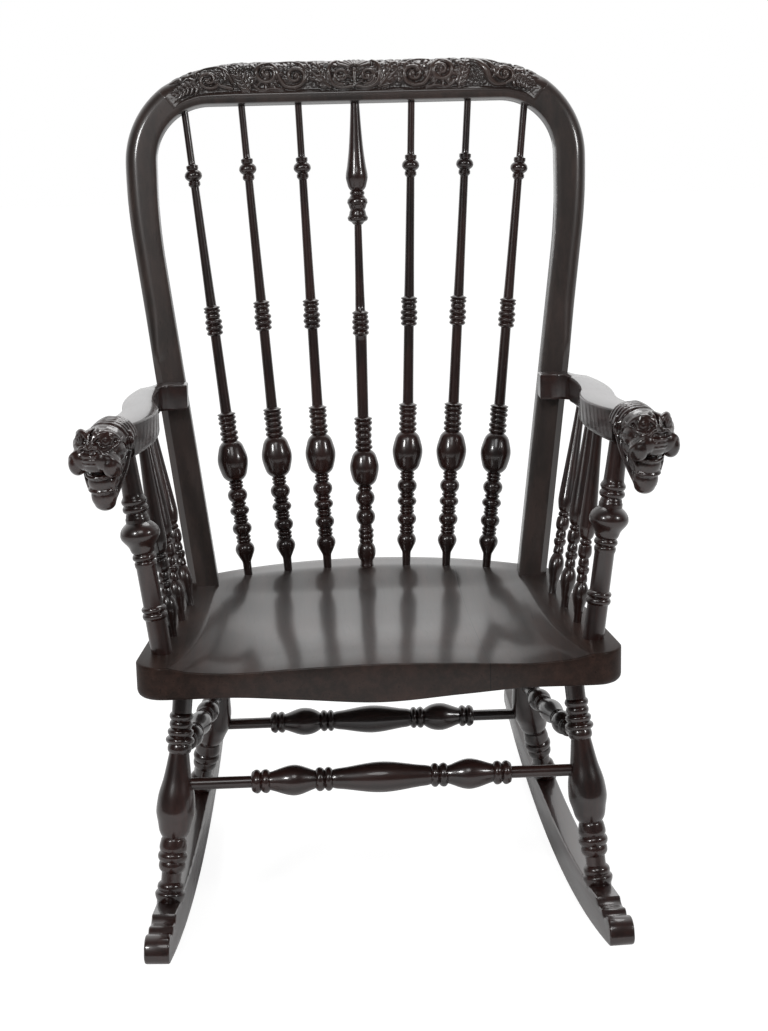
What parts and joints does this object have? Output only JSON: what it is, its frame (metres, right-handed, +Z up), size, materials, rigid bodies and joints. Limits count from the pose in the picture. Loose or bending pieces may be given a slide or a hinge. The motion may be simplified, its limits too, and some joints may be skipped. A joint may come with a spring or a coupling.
{
  "type": "rocking chair",
  "caption": "Wooden hoop back rocking chair: saddled seat on splayed turned legs and curved rockers, bent bow with turned spindles, swept arms ending in carved animal heads.",
  "frame": {"origin": "on the floor, midway between the rockers and midway along their length", "axes": "+Z up, +Y towards the back of the chair, the sitter faces -Y, +X to the right of someone who faces the chair"},
  "size_m": [0.708, 0.7589, 1.0329],
  "materials": {
    "mahogany": "dark mahogany stain under a satin gloss varnish"
  },
  "bodies": {
    "root": {"back_spindle_1": "mahogany", "back_spindle_2": "mahogany", "back_spindle_3": "mahogany", "back_spindle_4": "mahogany", "back_spindle_5": "mahogany", "back_spindle_6": "mahogany", "back_spindle_7": "mahogany", "bent_hoop": "mahogany", "front_stretcher": "mahogany", "left_arm": "mahogany", "left_arm_spindle_1": "mahogany", "left_arm_spindle_2": "mahogany", "left_arm_spindle_3": "mahogany", "left_carved_head": "mahogany", "left_front_arm_post": "mahogany", "left_front_leg": "mahogany", "left_rear_leg": "mahogany", "left_rocker": "mahogany", "left_stretcher": "mahogany", "rear_stretcher": "mahogany", "right_arm": "mahogany", "right_arm_spindle_1": "mahogany", "right_arm_spindle_2": "mahogany", "right_arm_spindle_3": "mahogany", "right_carved_head": "mahogany", "right_front_arm_post": "mahogany", "right_front_leg": "mahogany", "right_rear_leg": "mahogany", "right_rocker": "mahogany", "right_stretcher": "mahogany", "seat": "mahogany"}
  },
  "joints": []
}
